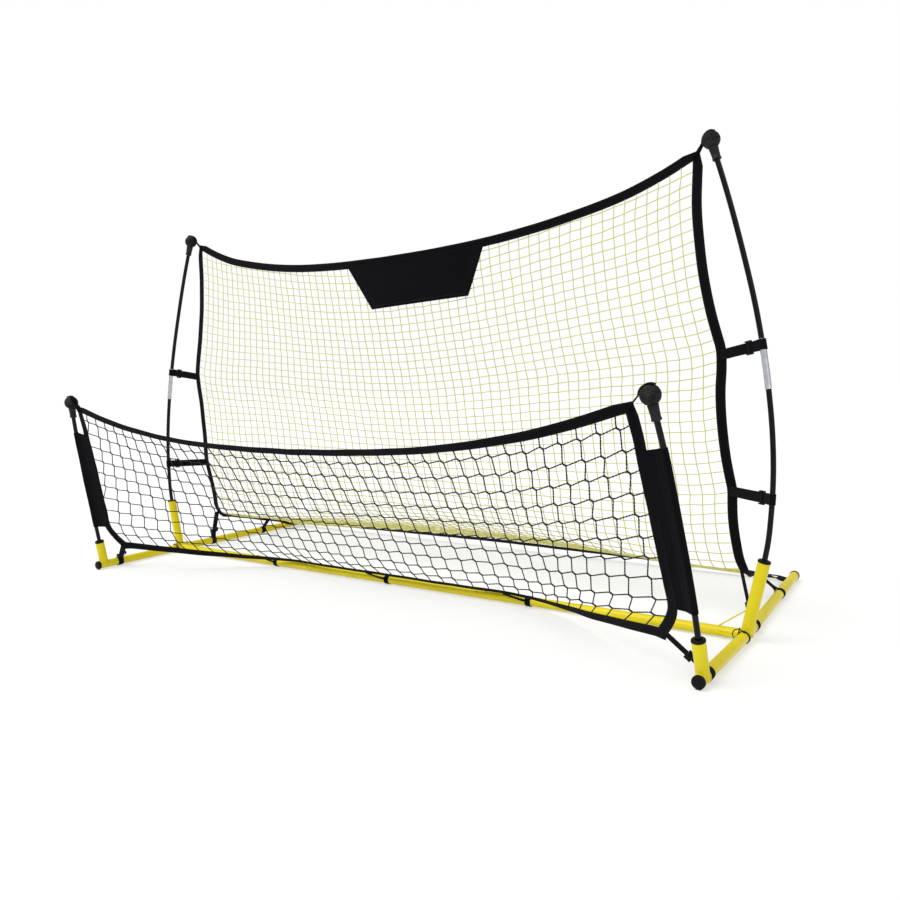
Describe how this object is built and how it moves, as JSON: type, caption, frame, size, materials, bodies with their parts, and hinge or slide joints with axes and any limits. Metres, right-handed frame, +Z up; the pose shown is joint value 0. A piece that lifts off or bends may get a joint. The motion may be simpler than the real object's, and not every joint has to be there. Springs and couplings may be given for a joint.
{
  "type": "pitch back rebounder",
  "caption": "Free-standing ball rebounder: steel base, curved poles, a tall sloping return net at the back and a low ground-ball net in front.",
  "frame": {"origin": "centre of the bounding box at floor level", "axes": "+X along the crossbar to the right as seen from the front, +Y from the low front net towards the tall rear net, +Z up"},
  "size_m": [2.2224, 1.103, 1.1874],
  "materials": {
    "yellow_paint": "bright yellow powder coat, semi-gloss",
    "black_plastic": "moulded black plastic, fine texture",
    "black_rubber": "ribbed soft black rubber",
    "fibreglass": "smooth black pultruded fibreglass, glossy",
    "ferrule_metal": "drawn steel tube, bright",
    "button_metal": "plated spring steel, dull",
    "webbing": "black woven polypropylene webbing",
    "panel_fabric": "black coated woven polyester",
    "yellow_net": "knotted pale yellow twine net",
    "black_net": "braided black twine net",
    "tie_cord": "thin black braided cord"
  },
  "bodies": {
    "frame_and_nets": {"badge_panel": "panel_fabric", "centre_crossbar_loop": "webbing", "front_net_border_tape": "webbing", "left_corner_tie": "tie_cord", "left_crossbar_loop": "webbing", "left_front_arm": "yellow_paint", "left_front_arm_plug": "black_plastic", "left_front_ball_cap": "black_rubber", "left_front_corner_strap": "webbing", "left_front_pole": "fibreglass", "left_front_pole_sleeve": "panel_fabric", "left_front_socket_collar": "black_plastic", "left_lower_rear_pole": "fibreglass", "left_lower_side_strap": "webbing", "left_rear_arm_plug": "black_plastic", "left_rear_arm_strap": "webbing", "left_rear_ball_cap": "black_rubber", "left_rear_corner_strap": "webbing", "left_rear_frame": "yellow_paint", "left_rear_pole_ferrule": "ferrule_metal", "left_rear_socket_collar": "black_plastic", "left_snap_button_spring": "button_metal", "left_upper_rear_pole": "fibreglass", "left_upper_side_strap": "webbing", "low_front_net": "black_net", "middle_crossbar_tube": "yellow_paint", "rear_net_border_tape": "webbing", "right_corner_tie": "tie_cord", "right_crossbar_loop": "webbing", "right_front_arm": "yellow_paint", "right_front_arm_plug": "black_plastic", "right_front_ball_cap": "black_rubber", "right_front_corner_strap": "webbing", "right_front_pole": "fibreglass", "right_front_pole_sleeve": "panel_fabric", "right_front_socket_collar": "black_plastic", "right_lower_rear_pole": "fibreglass", "right_lower_side_strap": "webbing", "right_rear_arm_plug": "black_plastic", "right_rear_arm_strap": "webbing", "right_rear_ball_cap": "black_rubber", "right_rear_corner_strap": "webbing", "right_rear_frame": "yellow_paint", "right_rear_pole_ferrule": "ferrule_metal", "right_rear_socket_collar": "black_plastic", "right_snap_button_spring": "button_metal", "right_upper_rear_pole": "fibreglass", "right_upper_side_strap": "webbing", "tall_rear_net": "yellow_net"},
    "left_snap_button": {"left_crossbar_snap_button": "button_metal"},
    "left_front_corner_slider": {"left_front_corner_slider": "black_plastic"},
    "left_lower_strap_slider": {"left_lower_strap_slider": "black_plastic"},
    "left_rear_corner_slider": {"left_rear_corner_slider": "black_plastic"},
    "left_upper_strap_slider": {"left_upper_strap_slider": "black_plastic"},
    "right_snap_button": {"right_crossbar_snap_button": "button_metal"},
    "right_front_corner_slider": {"right_front_corner_slider": "black_plastic"},
    "right_lower_strap_slider": {"right_lower_strap_slider": "black_plastic"},
    "right_rear_corner_slider": {"right_rear_corner_slider": "black_plastic"},
    "right_upper_strap_slider": {"right_upper_strap_slider": "black_plastic"}
  },
  "joints": [
    {"name": "left_snap_button_press", "type": "slide", "parent": "frame_and_nets", "child": "left_snap_button", "axis": [0, 0.4961, -0.8682], "range_m": [0, 0.0038], "stiffness_N_per_m": 1200, "springref_m": -0.002, "deforming": ["left_snap_button_spring"]},
    {"name": "left_front_corner_slider_slide", "type": "slide", "parent": "frame_and_nets", "child": "left_front_corner_slider", "axis": [0.7515, -0.3235, 0.575], "range_m": [-0.008, 0.015]},
    {"name": "left_lower_strap_slider_slide", "type": "slide", "parent": "frame_and_nets", "child": "left_lower_strap_slider", "axis": [0.7875, 0.6162, 0.015], "range_m": [-0.003, 0.012]},
    {"name": "left_rear_corner_slider_slide", "type": "slide", "parent": "frame_and_nets", "child": "left_rear_corner_slider", "axis": [0.3653, -0.0808, 0.9274], "range_m": [-0.008, 0.015]},
    {"name": "left_upper_strap_slider_slide", "type": "slide", "parent": "frame_and_nets", "child": "left_upper_strap_slider", "axis": [0.9289, 0.3262, -0.1751], "range_m": [-0.003, 0.012]},
    {"name": "right_snap_button_press", "type": "slide", "parent": "frame_and_nets", "child": "right_snap_button", "axis": [0, 0.4961, -0.8682], "range_m": [0, 0.0038], "stiffness_N_per_m": 1200, "springref_m": -0.002, "deforming": ["right_snap_button_spring"]},
    {"name": "right_front_corner_slider_slide", "type": "slide", "parent": "frame_and_nets", "child": "right_front_corner_slider", "axis": [-0.7912, 0, 0.6115], "range_m": [-0.008, 0.015]},
    {"name": "right_lower_strap_slider_slide", "type": "slide", "parent": "frame_and_nets", "child": "right_lower_strap_slider", "axis": [-0.7875, 0.6162, 0.015], "range_m": [-0.003, 0.012]},
    {"name": "right_rear_corner_slider_slide", "type": "slide", "parent": "frame_and_nets", "child": "right_rear_corner_slider", "axis": [-0.3223, 0.53, 0.7844], "range_m": [-0.008, 0.015]},
    {"name": "right_upper_strap_slider_slide", "type": "slide", "parent": "frame_and_nets", "child": "right_upper_strap_slider", "axis": [-0.9289, 0.3262, -0.1751], "range_m": [-0.003, 0.012]}
  ]
}
